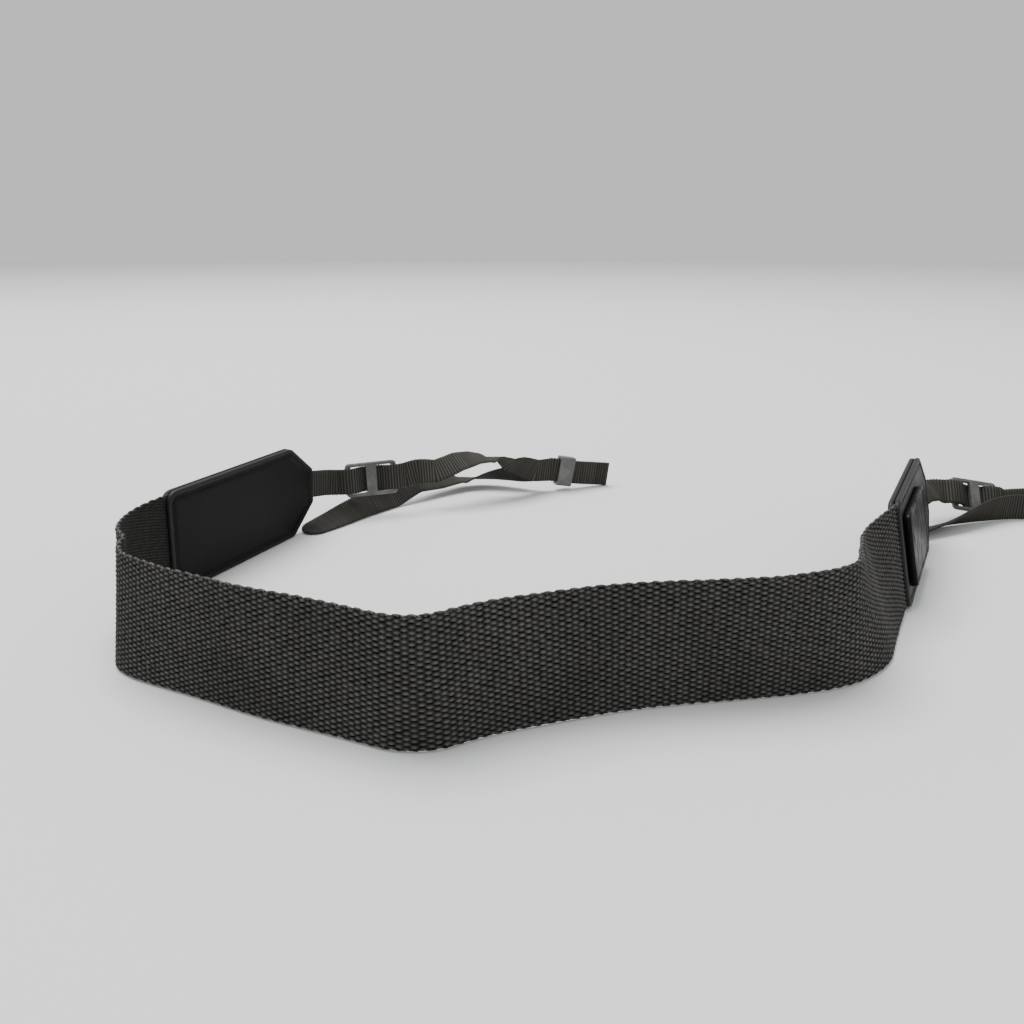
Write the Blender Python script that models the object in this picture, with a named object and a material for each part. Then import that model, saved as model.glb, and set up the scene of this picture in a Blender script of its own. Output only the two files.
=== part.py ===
import math
from collections import namedtuple

import bmesh
import bpy
import numpy as np
from mathutils import Vector

for old in list(bpy.data.objects):
    bpy.data.objects.remove(old, do_unlink=True)

# Lengths are in millimetres and become metres when a mesh is made.
METRES = 0.001

# Wide woven band
BAND_WIDTH = 38.0
BAND_THICKNESS = 1.5
BAND_LENGTH = 373.9  # between the two tabs
BAND_SELVAGE = 0.4  # chamfer along both woven edges
BAND_STEPS = 110

# Leather tabs
TAB_LENGTH = 91.0
TAB_RIM = 0.8  # how far the tab stands out beyond each edge of the band
TAB_POINT_LENGTH = 15.0
TAB_POINT_WIDTH = 15.4
TAB_CORNER = 5.0
TAB_POINT_CORNER = 1.6
LEATHER_THICKNESS = 1.1
LEATHER_EDGE = 0.5  # chamfer round each leather face
SEAM_GAP = 0.3  # between the two leather layers
WEBBING_CLEARANCE = 0.25  # between leather and any webbing it holds
BAND_TUCK = 46.0  # band held inside a tab
THIN_TUCK = 28.0  # narrow webbing held inside a tab

# Badge on the right tab
BADGE_LENGTH = 47.0
BADGE_WIDTH = 27.0
BADGE_THICKNESS = 2.2
BADGE_CORNER = 3.0
BADGE_CHAMFER = 0.6
BADGE_FROM_MOUTH = 6.0
BADGE_SEAT_GAP = 0.3

# Narrow webbing
THIN_WIDTH = 12.0
THIN_THICKNESS = 1.0
THIN_LENGTH = 160.0  # from the tab to the loop end
THIN_STEP = 1.6
LAYER_GAP = 0.4  # between the two layers at the loop end
LEFT_RETURN_LENGTH = 178.7  # from the loop end back to the tail
RIGHT_RETURN_LENGTH = 154.0

# Slider buckle
BUCKLE_LENGTH = 24.4
BUCKLE_THICKNESS = 1.8
BUCKLE_END_BAR = 2.6
BUCKLE_SIDE_BAR = 1.6
BUCKLE_CENTRE_BAR = 4.8
BUCKLE_CORNER = 2.0
BUCKLE_EDGE = 0.4
BUCKLE_CLEARANCE = 0.35  # between webbing and the frame round it
LEFT_BUCKLE_AT = 33.0  # from the tab to the buckle's middle
RIGHT_BUCKLE_AT = 54.0
BUCKLE_RUN_OUT = 4.0  # straight webbing beyond each end of the buckle

# Keeper sleeve
KEEPER_LENGTH = 8.0
KEEPER_WALL = 1.2
KEEPER_CLEARANCE = 0.3
KEEPER_CORNER = 1.0
KEEPER_FROM_LOOP = 23.5  # from the loop end to the keeper's middle
KEEPER_RUN_OUT = 3.0

# Which way the band sets off from the left tab
START_HEADING = -113.6

# share: how far along the band. turn: its heading against the start, in degrees.
# lean: how far its upper edge leans inwards.
BandRow = namedtuple("BandRow", "share turn lean")
BAND_COURSE = [
    BandRow(0.000, 0.0, 2.0),
    BandRow(0.035, 9.1, 2.0),
    BandRow(0.075, 31.3, 2.0),
    BandRow(0.110, 59.0, 2.0),
    BandRow(0.130, 16.7, 4.0),
    BandRow(0.155, 41.4, 7.0),
    BandRow(0.180, 72.0, 8.0),
    BandRow(0.205, 85.6, 7.0),
    BandRow(0.235, 87.2, 4.0),
    BandRow(0.300, 83.8, 3.0),
    BandRow(0.360, 90.2, 5.0),
    BandRow(0.430, 88.3, 3.1),
    BandRow(0.462, 116.6, 3.6),
    BandRow(0.490, 146.4, 5.4),
    BandRow(0.530, 134.9, 6.4),
    BandRow(0.600, 132.2, 5.8),
    BandRow(0.680, 122.6, 1.0),
    BandRow(0.740, 123.5, -0.4),
    BandRow(0.790, 130.0, 2.5),
    BandRow(0.820, 143.1, 6.2),
    BandRow(0.850, 156.3, 14.7),
    BandRow(0.870, 167.0, 18.8),
    BandRow(0.890, 177.8, 19.6),
    BandRow(0.920, 177.2, 21.6),
    BandRow(0.950, 176.5, 20.5),
    BandRow(1.000, 176.3, 12.0),
]
TAB_LIFT_SHARE = 0.07  # share of the band over which it climbs to a tab's height

# share: how far along the layer. turn: its heading against the layer's own start.
# foot: height of its lower edge, as a share of that height at the tab.
# lean: how far it rolls over to the left of the outward way; at 180 it is upside down.
# hold: a row that stays at one end of the buckle or of the keeper.
ThinRow = namedtuple("ThinRow", "share turn foot lean hold")
LEFT_OUT = [
    ThinRow(0.000, 0.0, 1.000, 2.0, ""),
    ThinRow(0.050, -6.0, 0.900, 3.0, ""),
    ThinRow(0.105, -45.0, 0.810, 5.0, "buckle_in"),
    ThinRow(0.315, -45.0, 0.830, 6.0, "buckle_out"),
    ThinRow(0.350, -51.8, 0.920, 15.3, ""),
    ThinRow(0.407, -53.2, 0.970, 40.0, ""),
    ThinRow(0.476, -34.9, 1.300, 54.6, ""),
    ThinRow(0.533, -27.0, 1.450, 70.8, ""),
    ThinRow(0.578, -37.7, 1.450, 83.0, ""),
    ThinRow(0.622, -49.4, 1.360, 104.8, ""),
    ThinRow(0.660, -44.5, 0.900, 130.2, ""),
    ThinRow(0.692, -40.1, 0.760, 145.7, ""),
    ThinRow(0.749, -36.0, 0.420, 166.3, ""),
    ThinRow(0.809, -47.0, 0.370, 180.0, "keeper_in"),
    ThinRow(0.898, -47.0, 0.165, 180.0, "keeper_out"),
    ThinRow(1.000, -47.0, 0.000, 180.0, ""),
]
LEFT_BACK = [
    ThinRow(0.000, 0.0, 0.000, 180.0, ""),
    ThinRow(0.093, 0.0, 0.165, 180.0, "keeper_in"),
    ThinRow(0.175, 0.0, 0.370, 180.0, "keeper_out"),
    ThinRow(0.215, -22.3, 0.330, 168.6, ""),
    ThinRow(0.270, -42.5, 0.230, 148.0, ""),
    ThinRow(0.330, -38.3, 0.200, 129.5, ""),
    ThinRow(0.390, -12.9, 0.190, 111.7, ""),
    ThinRow(0.460, 17.5, 0.340, 82.5, ""),
    ThinRow(0.530, 23.6, 0.270, 66.0, ""),
    ThinRow(0.610, 26.3, 0.320, 47.7, ""),
    ThinRow(0.690, 30.9, 0.000, 35.5, ""),
    ThinRow(0.800, 31.3, 0.000, 41.0, ""),
    ThinRow(0.900, 32.5, 0.000, 67.0, ""),
    ThinRow(1.000, 28.0, 0.000, 87.0, ""),
]
RIGHT_OUT = [
    ThinRow(0.000, 0.0, 1.00, 12.0, ""),
    ThinRow(0.120, -3.0, 0.86, 28.0, ""),
    ThinRow(0.190, -16.0, 0.74, 50.0, ""),
    ThinRow(0.236, -53.5, 0.57, 35.0, "buckle_in"),
    ThinRow(0.447, -53.5, 0.10, 35.0, "buckle_out"),
    ThinRow(0.520, -56.6, 0.06, 25.0, ""),
    ThinRow(0.650, -60.8, 0.05, 8.0, ""),
    ThinRow(0.809, -65.0, 0.12, 0.0, "keeper_in"),
    ThinRow(0.898, -65.0, 0.12, 0.0, "keeper_out"),
    ThinRow(1.000, -65.0, 0.00, 0.0, ""),
]
RIGHT_BACK = [
    ThinRow(0.000, 0.0, 0.00, 0.0, ""),
    ThinRow(0.105, 0.0, 0.12, 0.0, "keeper_in"),
    ThinRow(0.198, 0.0, 0.12, 0.0, "keeper_out"),
    ThinRow(0.290, 16.0, 0.04, 0.0, ""),
    ThinRow(0.470, 16.0, 0.00, 0.0, ""),
    ThinRow(0.570, 0.0, 0.00, 0.0, ""),
    ThinRow(0.620, 20.0, 0.00, -5.0, ""),
    ThinRow(0.680, 27.0, 0.00, -16.0, ""),
    ThinRow(0.760, 29.0, 0.00, -36.0, ""),
    ThinRow(0.870, 29.0, 0.00, -62.0, ""),
    ThinRow(1.000, 30.0, 0.00, -76.0, ""),
]

UP = Vector((0.0, 0.0, 1.0))

# A piece's own place: along runs down the strap, across runs up its width, out faces its outer side.
Frame = namedtuple("Frame", "origin along across out")
Station = namedtuple("Station", "place across half_width")


def column(rows, name, share):
    shares = [row.share for row in rows]
    return float(np.interp(share, shares, [getattr(row, name) for row in rows]))


def smooth(value):
    held = min(max(value, 0.0), 1.0)
    return held * held * (3.0 - 2.0 * held)


def at(frame, along, across, out):
    return frame.origin + frame.along * along + frame.across * across + frame.out * out


def leaned(along, lean):
    left = UP.cross(along).normalized()
    upright = along.cross(left).normalized()
    angle = math.radians(lean)
    return upright * math.cos(angle) + left * math.sin(angle)


def new_object(name, mesh, colour, roughness):
    body = bpy.data.objects.new(name, mesh)
    bpy.context.scene.collection.objects.link(body)
    material = bpy.data.materials.new(name)
    material.use_nodes = True
    shader = material.node_tree.nodes["Principled BSDF"]
    shader.inputs["Base Color"].default_value = (*colour, 1.0)
    shader.inputs["Roughness"].default_value = roughness
    mesh.materials.append(material)
    return body


def closed_mesh(name, rings):
    # Joins rings of equal length into one closed skin with flat ends.
    bm = bmesh.new()
    made = [[bm.verts.new(point * METRES) for point in ring] for ring in rings]
    count = len(made[0])
    for first, second in zip(made, made[1:]):
        for i in range(count):
            j = (i + 1) % count
            bm.faces.new((first[i], first[j], second[j], second[i]))
    bm.faces.new(made[0])
    bm.faces.new(made[-1])
    bmesh.ops.recalc_face_normals(bm, faces=bm.faces)
    if bm.calc_volume(signed=True) < 0:
        bmesh.ops.reverse_faces(bm, faces=bm.faces)
    mesh = bpy.data.meshes.new(name)
    bm.to_mesh(mesh)
    bm.free()
    return mesh


def rounded(corners, inset=0.0, segments=5):
    # corners: (x, y, radius), anticlockwise. Moves every side inwards by the inset first.
    count = len(corners)
    points = [Vector(corner[:2]) for corner in corners]
    moved = []
    for i in range(count):
        before = (points[i] - points[i - 1]).normalized()
        after = (points[(i + 1) % count] - points[i]).normalized()
        half = (before + Vector((-after.x, -after.y)))
        inwards = Vector((-before.y - after.y, before.x + after.x)).normalized()
        scale = inset / max(inwards.dot(Vector((-before.y, before.x))), 0.2)
        moved.append(points[i] + inwards * scale)
    outline = []
    for i in range(count):
        radius = max(corners[i][2] - inset, 0.2)
        here = moved[i]
        back = (moved[i - 1] - here).normalized()
        ahead = (moved[(i + 1) % count] - here).normalized()
        corner = math.acos(max(-1.0, min(1.0, back.dot(ahead))))
        reach = radius / math.tan(corner / 2.0)
        centre = here + (back + ahead).normalized() * (radius / math.sin(corner / 2.0))
        start = here + back * reach - centre
        end = here + ahead * reach - centre
        sweep = start.angle_signed(end)
        for k in range(segments + 1):
            turn = -sweep * k / segments
            outline.append((
                centre.x + start.x * math.cos(turn) - start.y * math.sin(turn),
                centre.y + start.x * math.sin(turn) + start.y * math.cos(turn),
            ))
    return outline


def rectangle(x0, x1, half, radius):
    return [(x0, -half, radius), (x1, -half, radius), (x1, half, radius), (x0, half, radius)]


def slab(name, frame, corners, levels, colour, roughness):
    # levels: (height along the frame's out, inset of the outline there)
    rings = [
        [at(frame, x, y, height) for x, y in rounded(corners, inset)]
        for height, inset in levels
    ]
    return new_object(name, closed_mesh(name, rings), colour, roughness)


def cutter(name, frame, x0, x1, half, low, high):
    body = slab(name, frame, rectangle(x0, x1, half, 0.3), [(low, 0.0), (high, 0.0)], (1, 0, 0), 0.5)
    body.hide_render = True
    body.display_type = "WIRE"
    return body


def cut(body, tool):
    modifier = body.modifiers.new(tool.name, "BOOLEAN")
    modifier.operation = "DIFFERENCE"
    modifier.solver = "EXACT"
    modifier.object = tool


def ribbon(name, stations, thickness, chamfer, colour, roughness):
    rings = []
    count = len(stations)
    for i, station in enumerate(stations):
        before = stations[max(i - 1, 0)].place
        after = stations[min(i + 1, count - 1)].place
        along = (after - before).normalized()
        out = along.cross(station.across).normalized()
        across = out.cross(along).normalized()
        half = station.half_width
        deep = thickness / 2.0
        edge = min(chamfer, 0.45 * half)
        section = [
            (half - edge, deep), (half, deep - chamfer), (half, chamfer - deep), (half - edge, -deep),
            (edge - half, -deep), (-half, chamfer - deep), (-half, deep - chamfer), (edge - half, deep),
        ]
        rings.append([station.place + across * y + out * z for y, z in section])
    return new_object(name, closed_mesh(name, rings), colour, roughness)


# Course of the band

def band_stations():
    step = BAND_LENGTH / BAND_STEPS
    place = Vector((0.0, 0.0, 0.0))
    feet = [place.copy()]
    for i in range(BAND_STEPS):
        heading = math.radians(START_HEADING + column(BAND_COURSE, "turn", (i + 0.5) / BAND_STEPS))
        place = place + Vector((math.cos(heading), math.sin(heading), 0.0)) * step
        feet.append(place.copy())
    for i, foot in enumerate(feet):
        from_end = (min(i, BAND_STEPS - i) - 1) / BAND_STEPS
        foot.z = TAB_RIM * (1.0 - smooth(from_end / TAB_LIFT_SHARE))
    made = []
    for i, foot in enumerate(feet):
        along = (feet[min(i + 1, BAND_STEPS)] - feet[max(i - 1, 0)]).normalized()
        lean = column(BAND_COURSE, "lean", i / BAND_STEPS)
        across = leaned(along, lean)
        lift = UP * (BAND_THICKNESS / 2.0 * abs(math.sin(math.radians(lean))))
        made.append((foot + across * (BAND_WIDTH / 2.0) + lift, along, across))
    return made


course = band_stations()
first, last = course[0], course[-1]
start_along = first[1]
end_along = last[1]
stations = [Station(first[0] - start_along * BAND_TUCK, first[2], BAND_WIDTH / 2.0)]
stations += [Station(place, across, BAND_WIDTH / 2.0) for place, along, across in course]
stations.append(Station(last[0] + end_along * BAND_TUCK, last[2], BAND_WIDTH / 2.0))
ribbon("neck_band", stations, BAND_THICKNESS, BAND_SELVAGE, (0.035, 0.032, 0.029), 0.85)

left_tab = Frame(first[0], -start_along, first[2], start_along.cross(first[2]).normalized())
right_tab = Frame(last[0], end_along, last[2], end_along.cross(last[2]).normalized())


# Leather tabs

tab_half = BAND_WIDTH / 2.0 + TAB_RIM
tab_corners = [
    (0.0, -tab_half, TAB_CORNER),
    (TAB_LENGTH - TAB_POINT_LENGTH, -tab_half, TAB_CORNER),
    (TAB_LENGTH, -TAB_POINT_WIDTH / 2.0, TAB_POINT_CORNER),
    (TAB_LENGTH, TAB_POINT_WIDTH / 2.0, TAB_POINT_CORNER),
    (TAB_LENGTH - TAB_POINT_LENGTH, tab_half, TAB_CORNER),
    (0.0, tab_half, TAB_CORNER),
]
band_pocket = BAND_THICKNESS / 2.0 + WEBBING_CLEARANCE
thin_pocket = THIN_THICKNESS / 2.0 + WEBBING_CLEARANCE
tab_face = band_pocket + LEATHER_THICKNESS


def tab_layer(name, frame, side):
    # side: 1 for the outer face, -1 for the inner one
    levels = [
        (side * SEAM_GAP / 2.0, 0.0),
        (side * (tab_face - LEATHER_EDGE), 0.0),
        (side * tab_face, LEATHER_EDGE),
    ]
    body = slab(name, frame, tab_corners, levels, (0.012, 0.012, 0.013), 0.5)
    cut(body, cutter(
        name + "_band_pocket", frame, -TAB_CORNER, BAND_TUCK + WEBBING_CLEARANCE,
        BAND_WIDTH / 2.0 + WEBBING_CLEARANCE, -side * band_pocket, side * band_pocket,
    ))
    cut(body, cutter(
        name + "_thin_pocket", frame, TAB_LENGTH - THIN_TUCK - WEBBING_CLEARANCE, TAB_LENGTH + TAB_CORNER,
        THIN_WIDTH / 2.0 + WEBBING_CLEARANCE, -side * thin_pocket, side * thin_pocket,
    ))
    return body


for side_name, tab in (("left", left_tab), ("right", right_tab)):
    tab_layer(side_name + "_tab_inner", tab, -1.0)
    tab_layer(side_name + "_tab_outer", tab, 1.0)

badge_low = tab_face + BADGE_SEAT_GAP
badge_high = badge_low + BADGE_THICKNESS
slab(
    "right_tab_badge", right_tab,
    rectangle(BADGE_FROM_MOUTH, BADGE_FROM_MOUTH + BADGE_LENGTH, BADGE_WIDTH / 2.0, BADGE_CORNER),
    [(badge_low, 0.0), (badge_high - BADGE_CHAMFER, 0.0), (badge_high, BADGE_CHAMFER)],
    (0.02, 0.02, 0.022), 0.2,
)


# Narrow webbing, its buckle and its keeper

layer_pitch = THIN_THICKNESS + LAYER_GAP
weave_depth = BUCKLE_THICKNESS / 2.0 + BUCKLE_CLEARANCE + THIN_THICKNESS / 2.0


def placed_rows(rows, length, holds):
    # Each row's distance along the layer: the held rows at their own places, the rest between them.
    known = [(row.share, holds[row.hold]) for row in rows if row.hold]
    known = [(0.0, 0.0)] + known + [(1.0, length)]
    distances = np.interp([row.share for row in rows], [a for a, b in known], [b for a, b in known])
    return list(distances)


def layer_points(rows, length, start, heading, tip_foot, holds):
    distances = placed_rows(rows, length, holds)

    def value(name, distance):
        return float(np.interp(distance, distances, [getattr(row, name) for row in rows]))

    count = max(int(length / THIN_STEP), 8)
    step = length / count
    place = Vector((start.x, start.y, 0.0))
    found = []
    for i in range(count + 1):
        lean = value("lean", i * step)
        angle = math.radians(lean)
        rest = THIN_WIDTH / 2.0 * abs(math.cos(angle)) + THIN_THICKNESS / 2.0 * abs(math.sin(angle))
        found.append((Vector((place.x, place.y, value("foot", i * step) * tip_foot + rest)), lean))
        turn = math.radians(heading + value("turn", (i + 0.5) * step))
        place = place + Vector((math.cos(turn), math.sin(turn), 0.0)) * step
    return found, step


def tangent(points, i):
    return (points[min(i + 1, len(points) - 1)] - points[max(i - 1, 0)]).normalized()


def frame_at(found, step, distance):
    points = [point for point, lean in found]
    i = min(max(int(round(distance / step)), 1), len(points) - 2)
    along = tangent(points, i)
    across = leaned(along, found[i][1])
    offset = distance - i * step
    return Frame(points[i] + along * offset, along, across, along.cross(across).normalized())


def weave(distance, middle):
    # Behind the centre bar, in front of both end bars, and back in line beyond them.
    away = abs(distance - middle)
    bar_end = BUCKLE_CENTRE_BAR / 2.0 + BUCKLE_CLEARANCE
    side_start = BUCKLE_LENGTH / 2.0 - BUCKLE_END_BAR - BUCKLE_CLEARANCE
    over_end = BUCKLE_LENGTH / 2.0 + BUCKLE_CLEARANCE
    crossing = smooth((away - bar_end) / (side_start - bar_end))
    back = smooth((away - over_end) / BUCKLE_RUN_OUT)
    return weave_depth * (2.0 * crossing - 1.0) * (1.0 - back)


def thin_strap(side_name, tab, out_rows, back_rows, back_length, buckle_at, loop_side):
    tip = at(tab, TAB_LENGTH, 0.0, 0.0)
    heading = math.degrees(math.atan2(tab.along.y, tab.along.x))
    lean = math.radians(out_rows[0].lean)
    rest = THIN_WIDTH / 2.0 * math.cos(lean) + THIN_THICKNESS / 2.0 * abs(math.sin(lean))
    tip_foot = tip.z - rest
    half_run = BUCKLE_LENGTH / 2.0 + BUCKLE_RUN_OUT + BUCKLE_CLEARANCE
    half_hold = KEEPER_LENGTH / 2.0 + KEEPER_RUN_OUT
    keeper_at = THIN_LENGTH - KEEPER_FROM_LOOP
    out_holds = {
        "buckle_in": buckle_at - half_run, "buckle_out": buckle_at + half_run,
        "keeper_in": keeper_at - half_hold, "keeper_out": keeper_at + half_hold,
    }
    out, out_step = layer_points(out_rows, THIN_LENGTH, tip, heading, tip_foot, out_holds)
    out_points = [point for point, lean_here in out]

    made = [Station(tip - tab.along * THIN_TUCK, tab.across, THIN_WIDTH / 2.0)]
    made.append(Station(tip - tab.along * (THIN_STEP / 2.0), tab.across, THIN_WIDTH / 2.0))
    for i, (point, lean_here) in enumerate(out):
        if i == 0:
            continue
        along = tangent(out_points, i)
        across = leaned(along, lean_here)
        front = along.cross(across).normalized()
        place = point + front * weave(i * out_step, buckle_at)
        made.append(Station(place, across, THIN_WIDTH / 2.0))

    # The loop end turns the webbing back on itself.
    end_along = tangent(out_points, len(out_points) - 1)
    end_across = leaned(end_along, out[-1][1])
    towards = end_along.cross(end_across).normalized() * loop_side
    hub = out_points[-1] + towards * (layer_pitch / 2.0)
    turn_steps = 6
    for k in range(1, turn_steps):
        angle = math.pi * k / turn_steps
        place = hub - towards * (layer_pitch / 2.0 * math.cos(angle))
        place = place + end_along * (layer_pitch / 2.0 * math.sin(angle))
        made.append(Station(place, end_across, THIN_WIDTH / 2.0))

    back_start = out_points[-1] + towards * layer_pitch
    back_heading = math.degrees(math.atan2(-end_along.y, -end_along.x))
    back_holds = {"keeper_in": KEEPER_FROM_LOOP - half_hold, "keeper_out": KEEPER_FROM_LOOP + half_hold}
    back, back_step = layer_points(back_rows, back_length, back_start, back_heading, tip_foot, back_holds)
    back_points = [point for point, lean_here in back]
    round_from = back_length - THIN_WIDTH / 2.0
    for i, (point, lean_here) in enumerate(back):
        along = -tangent(back_points, i)
        across = leaned(along, lean_here)
        beyond = max(i * back_step - round_from, 0.0) / (THIN_WIDTH / 2.0)
        half = THIN_WIDTH / 2.0 * math.sqrt(max(1.0 - beyond * beyond, 0.03))
        made.append(Station(point, across, half))
    ribbon(side_name + "_thin_strap", made, THIN_THICKNESS, 0.25 * THIN_THICKNESS, (0.03, 0.028, 0.026), 0.85)

    buckle = frame_at(out, out_step, buckle_at)
    window = THIN_WIDTH / 2.0 + BUCKLE_CLEARANCE
    buckle_half = window + BUCKLE_SIDE_BAR
    deep = BUCKLE_THICKNESS / 2.0
    body = slab(
        side_name + "_buckle", buckle,
        rectangle(-BUCKLE_LENGTH / 2.0, BUCKLE_LENGTH / 2.0, buckle_half, BUCKLE_CORNER),
        [(-deep, BUCKLE_EDGE), (BUCKLE_EDGE - deep, 0.0), (deep - BUCKLE_EDGE, 0.0), (deep, BUCKLE_EDGE)],
        (0.11, 0.11, 0.115), 0.45,
    )
    near = BUCKLE_CENTRE_BAR / 2.0
    far = BUCKLE_LENGTH / 2.0 - BUCKLE_END_BAR
    for label, low, high in (("_window_in", -far, -near), ("_window_out", near, far)):
        cut(body, cutter(side_name + label, buckle, low, high, window, -2.0 * deep, 2.0 * deep))

    middle = frame_at(out, out_step, keeper_at)
    keeper = Frame(
        middle.origin + middle.out * (loop_side * layer_pitch / 2.0),
        middle.out, middle.across, -middle.along,
    )
    inner_deep = layer_pitch / 2.0 + THIN_THICKNESS / 2.0 + KEEPER_CLEARANCE
    inner_half = THIN_WIDTH / 2.0 + KEEPER_CLEARANCE
    body = slab(
        side_name + "_keeper", keeper,
        rectangle(-inner_deep - KEEPER_WALL, inner_deep + KEEPER_WALL, inner_half + KEEPER_WALL, KEEPER_CORNER),
        [(-KEEPER_LENGTH / 2.0, 0.0), (KEEPER_LENGTH / 2.0, 0.0)], (0.13, 0.13, 0.135), 0.5,
    )
    cut(body, cutter(
        side_name + "_keeper_hole", keeper, -inner_deep, inner_deep, inner_half,
        -KEEPER_LENGTH, KEEPER_LENGTH,
    ))


thin_strap("left", left_tab, LEFT_OUT, LEFT_BACK, LEFT_RETURN_LENGTH, LEFT_BUCKLE_AT, 1.0)
thin_strap("right", right_tab, RIGHT_OUT, RIGHT_BACK, RIGHT_RETURN_LENGTH, RIGHT_BUCKLE_AT, 1.0)


# Puts the lowest point on the ground and the middle of the footprint at the origin.
shown = [body for body in bpy.context.scene.objects if not body.hide_render]
bounds = np.array([vertex.co[:] for body in shown for vertex in body.data.vertices])
low, high = bounds.min(axis=0), bounds.max(axis=0)
shift = Vector((-(low[0] + high[0]) / 2.0, -(low[1] + high[1]) / 2.0, -low[2]))
for body in bpy.context.scene.objects:
    for vertex in body.data.vertices:
        vertex.co = vertex.co + shift
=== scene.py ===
# Camera neck strap: a woven band, leather tabs, narrow ribbed webbing and moulded hardware.
import math

import bmesh
import bpy
import numpy as np
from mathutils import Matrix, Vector


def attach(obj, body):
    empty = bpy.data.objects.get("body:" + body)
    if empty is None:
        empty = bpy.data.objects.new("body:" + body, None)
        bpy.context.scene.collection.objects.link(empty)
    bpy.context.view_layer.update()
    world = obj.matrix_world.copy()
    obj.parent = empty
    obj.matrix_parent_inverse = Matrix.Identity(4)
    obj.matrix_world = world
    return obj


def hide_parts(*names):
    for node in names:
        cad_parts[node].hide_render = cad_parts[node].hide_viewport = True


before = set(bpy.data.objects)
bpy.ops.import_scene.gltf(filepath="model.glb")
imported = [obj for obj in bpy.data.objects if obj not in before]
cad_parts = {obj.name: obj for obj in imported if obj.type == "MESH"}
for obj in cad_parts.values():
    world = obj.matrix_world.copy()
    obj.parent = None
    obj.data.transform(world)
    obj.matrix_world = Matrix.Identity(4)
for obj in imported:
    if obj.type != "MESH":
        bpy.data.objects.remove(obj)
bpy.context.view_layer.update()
print("frame loaded:", len(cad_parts), "nodes")

metres = 0.001  # everything below is in millimetres until a mesh is made
partOffset = np.array([-221.76, -23.774, 0.159])  # from the band's left end to the frame's origin
chance = np.random.default_rng(11)

# Camera and light

view = {
    "place": (-95.56, -351.47, 132.8),
    "tiltDown": 17.001,
    "lens": 33.398,
    "sensor": 36.0,
}
cameraData = bpy.data.cameras.new("camera")
cameraData.lens = view["lens"]
cameraData.sensor_width = view["sensor"]
cameraData.clip_start = 0.01
camera = bpy.data.objects.new("camera", cameraData)
camera.location = Vector(view["place"]) * metres
camera.rotation_euler = (math.radians(90.0 - view["tiltDown"]), 0.0, 0.0)
bpy.context.scene.collection.objects.link(camera)
bpy.context.scene.camera = camera

studio = {
    "skyColour": "#f4f5f5",
    "skyStrength": 0.78,
    "keyPower": 76.0,
    "keySize": 1.5,
    "keyPlace": (-0.55, 0.66, 2.2),
    "fillPower": 6.0,
    "fillPlace": (0.9, -1.6, 1.6),
    "floorColour": "#e2e4e3",
    "floorHalf": 3.0,
}


def toLinear(code):
    # sRGB hex to the linear colour that the shaders take
    parts = [int(code[i:i + 2], 16) / 255.0 for i in (1, 3, 5)]
    parts = [c / 12.92 if c <= 0.04045 else ((c + 0.055) / 1.055) ** 2.4 for c in parts]
    return (*parts, 1.0)


def addNode(material, kind, settings=None, links=None):
    # settings: input or property to value. links: input to (node, output)
    node = material.node_tree.nodes.new(kind)
    for name, value in (settings or {}).items():
        if name in node.inputs:
            node.inputs[name].default_value = value
        else:
            setattr(node, name, value)
    for name, (source, output) in (links or {}).items():
        material.node_tree.links.new(source.outputs[output], node.inputs[name])
    return node


def newMaterial(name, settings):
    material = bpy.data.materials.new(name)
    material.use_nodes = True
    surface = material.node_tree.nodes["Principled BSDF"]
    for key, value in settings.items():
        surface.inputs[key].default_value = value
    return material, surface


def wire(material, source, output, target, socket):
    material.node_tree.links.new(source.outputs[output], target.inputs[socket])


def areaLight(name, place, size, power):
    # a square soft light that faces the middle of the floor
    lamp = bpy.data.lights.new(name, "AREA")
    lamp.energy = power
    lamp.size = size
    holder = bpy.data.objects.new(name, lamp)
    holder.location = place
    holder.rotation_euler = (-Vector(place)).to_track_quat("-Z", "Y").to_euler()
    bpy.context.scene.collection.objects.link(holder)


world = bpy.data.worlds.new("studio")
world.use_nodes = True
world.node_tree.nodes["Background"].inputs["Color"].default_value = toLinear(studio["skyColour"])
world.node_tree.nodes["Background"].inputs["Strength"].default_value = studio["skyStrength"]
bpy.context.scene.world = world
areaLight("keyLight", studio["keyPlace"], studio["keySize"], studio["keyPower"])
areaLight("fillLight", studio["fillPlace"], studio["keySize"], studio["fillPower"])


def meshObject(name, points, faces, material, values=None):
    # points in millimetres from the band's left end, faces in an array or a list. values: name to
    # one number for each point
    mesh = bpy.data.meshes.new(name)
    placed = (np.asarray(points, dtype=float) + partOffset) * metres
    mesh.from_pydata(placed.tolist(), [], faces if isinstance(faces, list) else faces.tolist())
    mesh.polygons.foreach_set("use_smooth", [True] * len(mesh.polygons))
    for key, numbers in (values or {}).items():
        layer = mesh.attributes.new(key, "FLOAT", "POINT")
        layer.data.foreach_set("value", np.asarray(numbers, dtype=np.float32).ravel())
    mesh.materials.append(material)
    mesh.update()
    piece = bpy.data.objects.new(name, mesh)
    bpy.context.scene.collection.objects.link(piece)
    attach(piece, "root")
    return piece


def sealed(mesh):
    # joins the points that meet along a closed ridge and turns every face outwards
    loose = bmesh.new()
    loose.from_mesh(mesh)
    bmesh.ops.remove_doubles(loose, verts=loose.verts, dist=1e-6)
    bmesh.ops.recalc_face_normals(loose, faces=loose.faces)
    loose.to_mesh(mesh)
    loose.free()


def gridFaces(rings, count, closed):
    # quads between neighbouring rings of count points, closed round each ring or not
    across = np.arange(count if closed else count - 1)
    nextAcross = (across + 1) % count
    start = (np.arange(rings - 1) * count)[:, None]
    quads = np.stack([
        start + across, start + count + across, start + count + nextAcross, start + nextAcross,
    ], axis=-1)
    return quads.reshape(-1, 4)


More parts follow.
